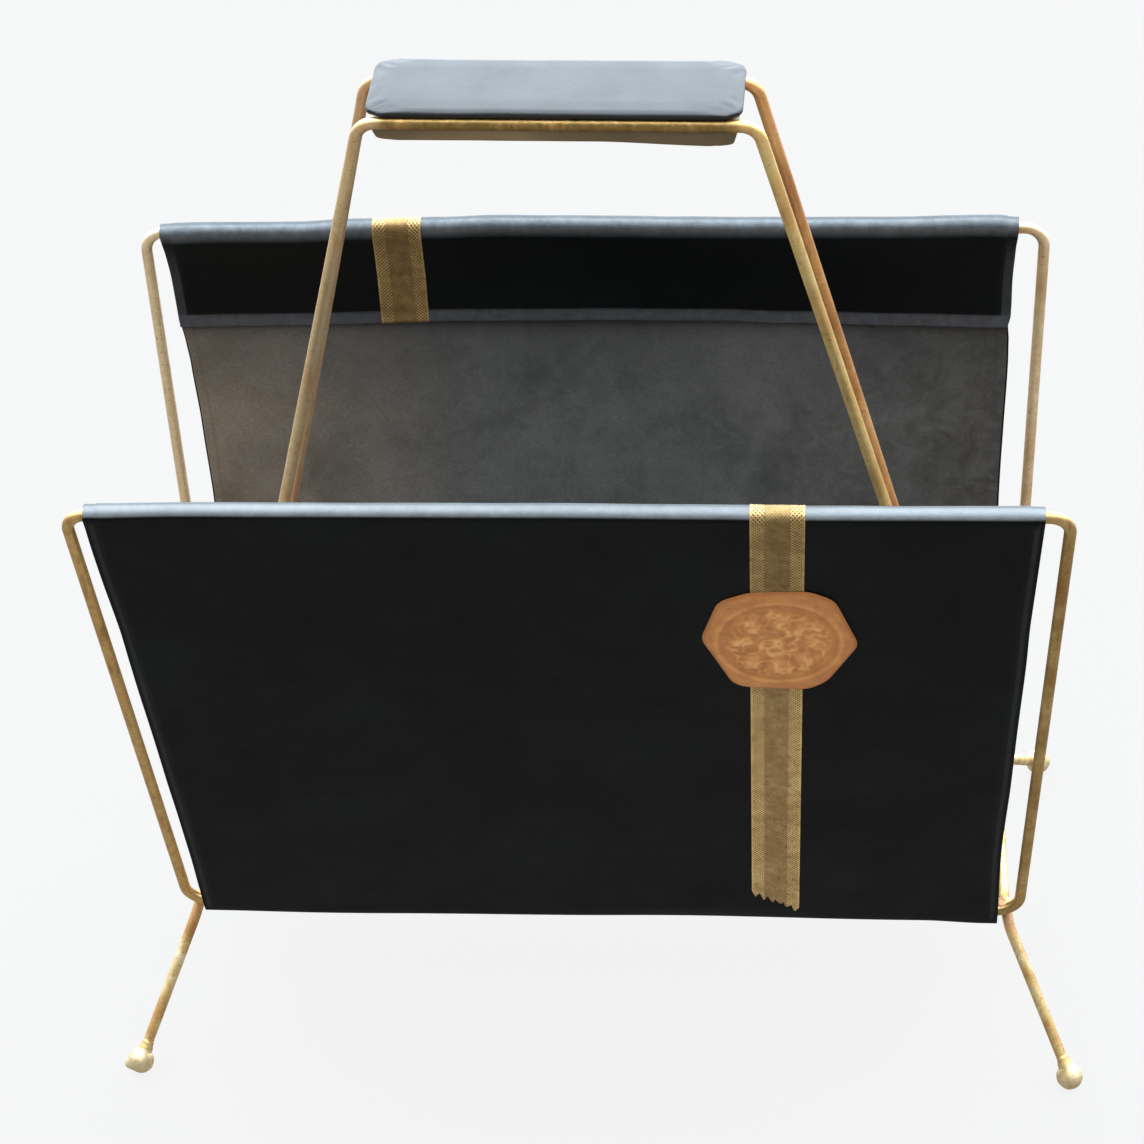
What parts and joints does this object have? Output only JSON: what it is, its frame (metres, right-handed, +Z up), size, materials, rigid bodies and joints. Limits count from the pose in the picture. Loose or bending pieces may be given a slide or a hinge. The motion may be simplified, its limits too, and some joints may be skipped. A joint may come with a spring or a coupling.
{
  "type": "magazine rack",
  "caption": "Free-standing magazine rack: wire frame on splayed legs, folded leatherette sling with two pockets, and a raised carrying handle with a padded grip.",
  "frame": {"origin": "on the floor, at the centre between the four feet", "axes": "+X along the rack's length, +Y to the back, +Z up; seen from the front the printed ribbon is on the right"},
  "size_m": [0.4514, 0.2159, 0.4852],
  "materials": {
    "side_brass": "aged, brown patina with bright high spots",
    "leg_brass": "aged, worn pale, mottled",
    "handle_brass": "aged satin",
    "foot_brass": "pale, worn",
    "braze": "rough solder bead",
    "leatherette": "fine-grained black leatherette, semi-gloss",
    "grip_leatherette": "fine-grained black leatherette, semi-gloss",
    "lining": "mottled grey felt backing",
    "grip_core": "plain wood strip",
    "gold_foil": "hatched gold foil print",
    "seal": "copper-coloured embossed seal"
  },
  "bodies": {
    "root": {"front_frame": "side_brass", "rear_frame": "side_brass", "left_leg_hoop": "leg_brass", "right_leg_hoop": "leg_brass", "front_handle_wire": "handle_brass", "rear_handle_wire": "handle_brass", "front_left_foot": "foot_brass", "front_right_foot": "foot_brass", "rear_left_foot": "foot_brass", "rear_right_foot": "foot_brass", "front_left_braze": "braze", "front_right_braze": "braze", "rear_left_braze": "braze", "rear_right_braze": "braze", "left_handle_braze": "braze", "right_handle_braze": "braze", "grip_top_cover": "grip_leatherette", "grip_base_cover": "grip_leatherette", "grip_core": "grip_core", "sling_cover": "leatherette", "sling_lining": "lining", "front_ribbon": "gold_foil", "rear_ribbon": "gold_foil", "front_seal": "seal", "rear_seal": "seal"}
  },
  "joints": []
}
